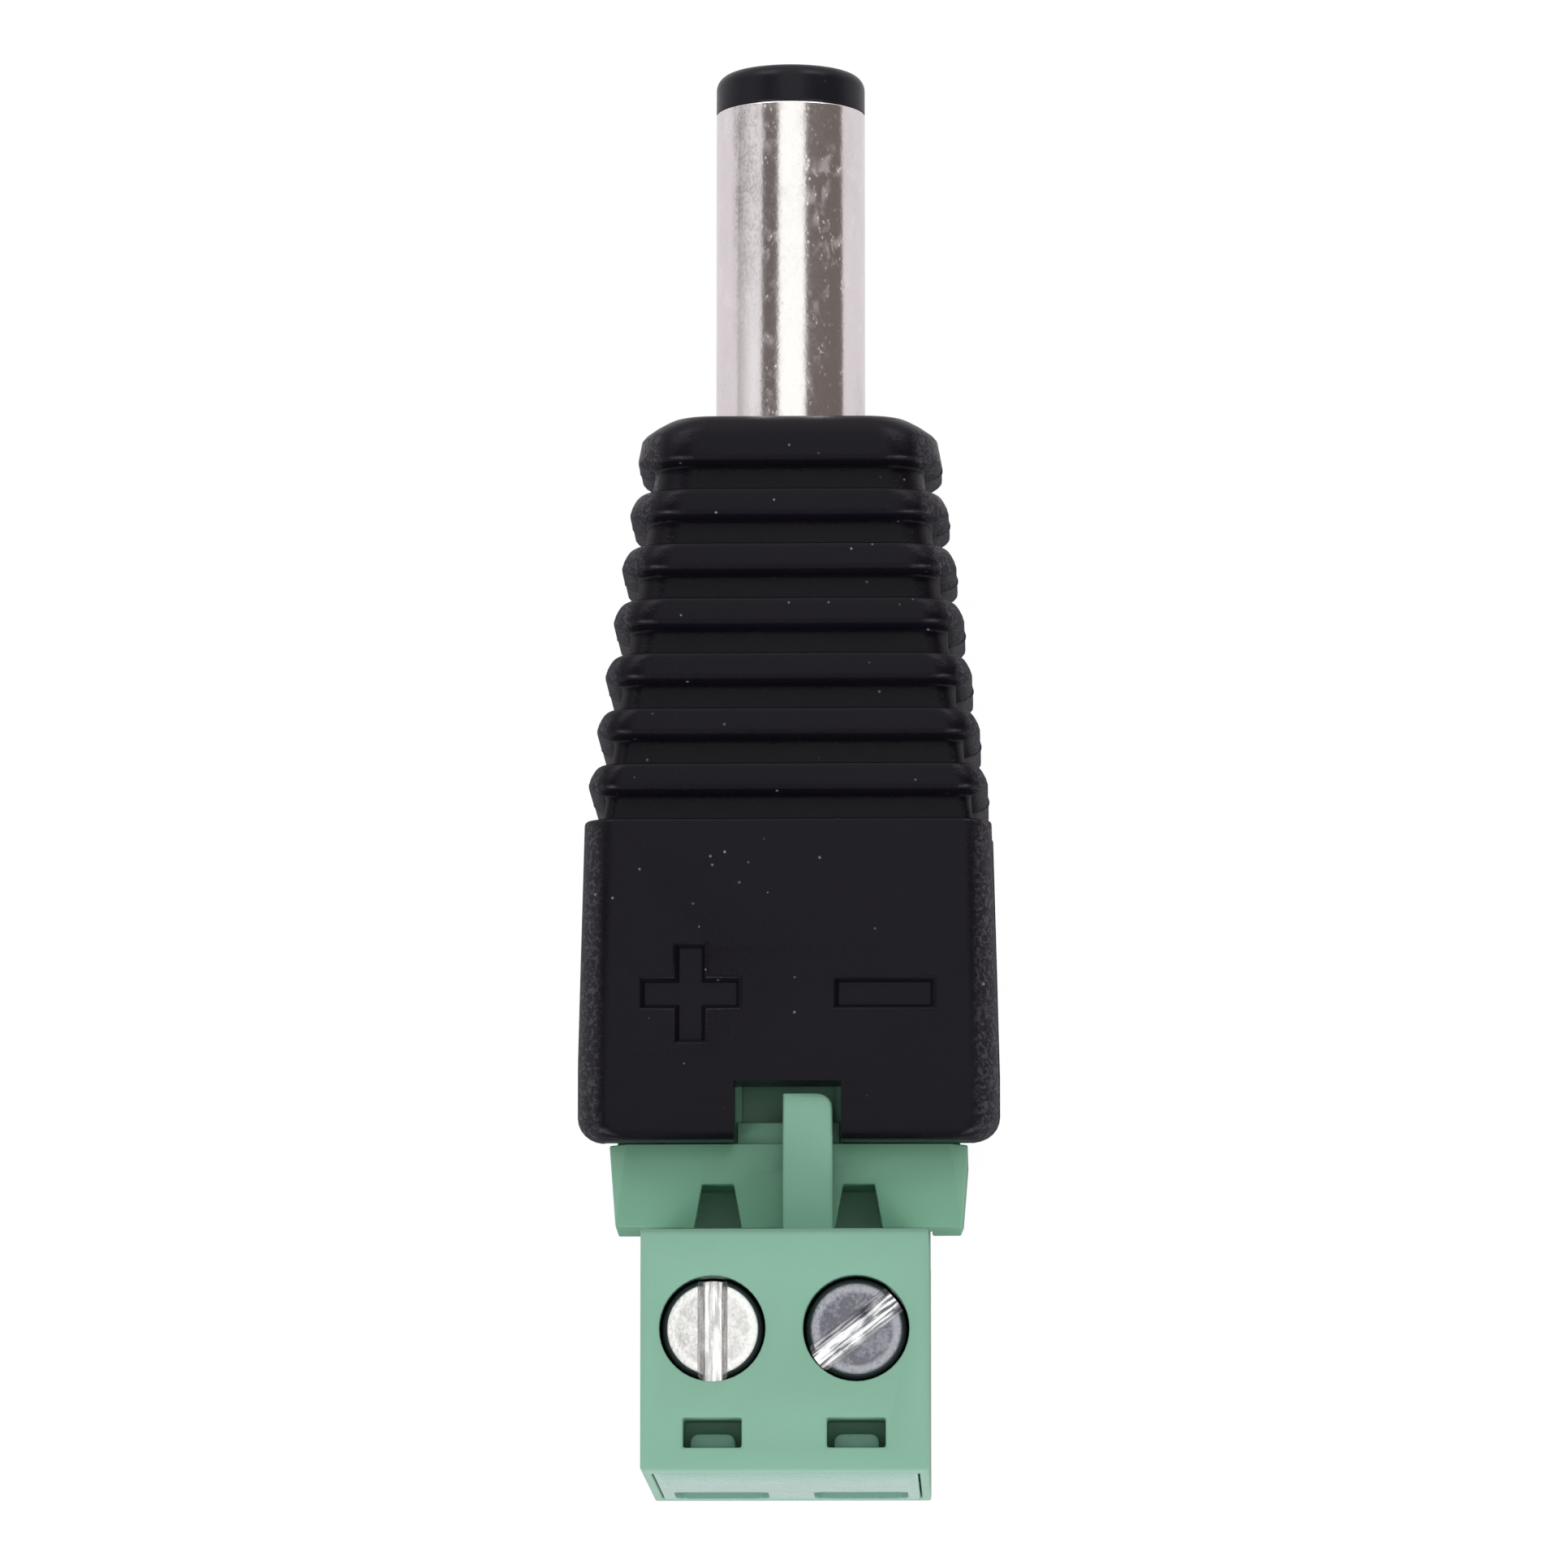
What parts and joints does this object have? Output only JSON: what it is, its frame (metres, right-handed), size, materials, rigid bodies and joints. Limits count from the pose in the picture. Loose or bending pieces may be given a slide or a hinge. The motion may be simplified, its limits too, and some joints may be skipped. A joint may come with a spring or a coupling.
{
  "type": "dc barrel plug",
  "caption": "Ribbed DC power plug with a round barrel and a plug-in screw terminal block at its wide end.",
  "frame": {"origin": "on the barrel's axis, at the housing's shoulder where the barrel leaves it", "axes": "+Y along the barrel to its tip, +Z out of the face with the clamp screws, +X towards the negative pole"},
  "size_m": [0.0154, 0.0525, 0.0169],
  "materials": {
    "housing_black": "fine sand texture, moulded",
    "barrel_nickel": "nickel plated, polished, light blotches",
    "tip_black": "smooth black plastic",
    "contact_brass": "plated brass",
    "tinned_metal": "tin plated",
    "header_green": "satin green polyamide",
    "terminal_green": "satin green polyamide",
    "cover_green": "satin green polyamide",
    "copper_wire": "tinned copper strand",
    "red_insulation": "smooth PVC",
    "black_insulation": "smooth PVC",
    "cage_nickel": "nickel plated brass",
    "screw_zinc": "zinc plated steel, lightly burnished"
  },
  "bodies": {
    "connector": {"outer_housing": "housing_black", "barrel_sleeve": "barrel_nickel", "tip_insulator": "tip_black", "centre_contact": "contact_brass", "sleeve_tag": "tinned_metal", "rear_insulator": "tip_black", "header_housing": "header_green", "positive_header_pin": "tinned_metal", "negative_header_pin": "tinned_metal", "positive_lead_conductor": "copper_wire", "negative_lead_conductor": "copper_wire", "positive_lead_insulation": "red_insulation", "negative_lead_insulation": "black_insulation"},
    "terminal": {"terminal_housing": "terminal_green", "terminal_cover": "cover_green", "positive_contact_spring": "tinned_metal", "negative_contact_spring": "tinned_metal"},
    "positive_screw": {"positive_clamp_screw": "screw_zinc"},
    "negative_screw": {"negative_clamp_screw": "screw_zinc"},
    "positive_cage": {"positive_clamp_cage": "cage_nickel"},
    "negative_cage": {"negative_clamp_cage": "cage_nickel"}
  },
  "joints": [
    {"name": "terminal_slide", "type": "slide", "parent": "connector", "child": "terminal", "axis": [0, -1, 0], "range_m": [0, 0.012]},
    {"name": "positive_screw_turn", "type": "hinge", "parent": "terminal", "child": "positive_screw", "pos_m": [-0.00254, -0.03421, 0.009], "axis": [0, 0, -1], "range_deg": [0, 1800]},
    {"name": "positive_cage_lift", "type": "slide", "parent": "terminal", "child": "positive_cage", "axis": [0, 0, 1], "range_m": [0, 0.0025]},
    {"name": "negative_screw_turn", "type": "hinge", "parent": "terminal", "child": "negative_screw", "pos_m": [0.00254, -0.03421, 0.009], "axis": [0, 0, -1], "range_deg": [0, 1800]},
    {"name": "negative_cage_lift", "type": "slide", "parent": "terminal", "child": "negative_cage", "axis": [0, 0, 1], "range_m": [0, 0.0025]}
  ],
  "couplings": [
    {"joint": "positive_screw_turn", "follows": "positive_cage_lift", "rad_per_m": 12566},
    {"joint": "negative_screw_turn", "follows": "negative_cage_lift", "rad_per_m": 12566}
  ]
}
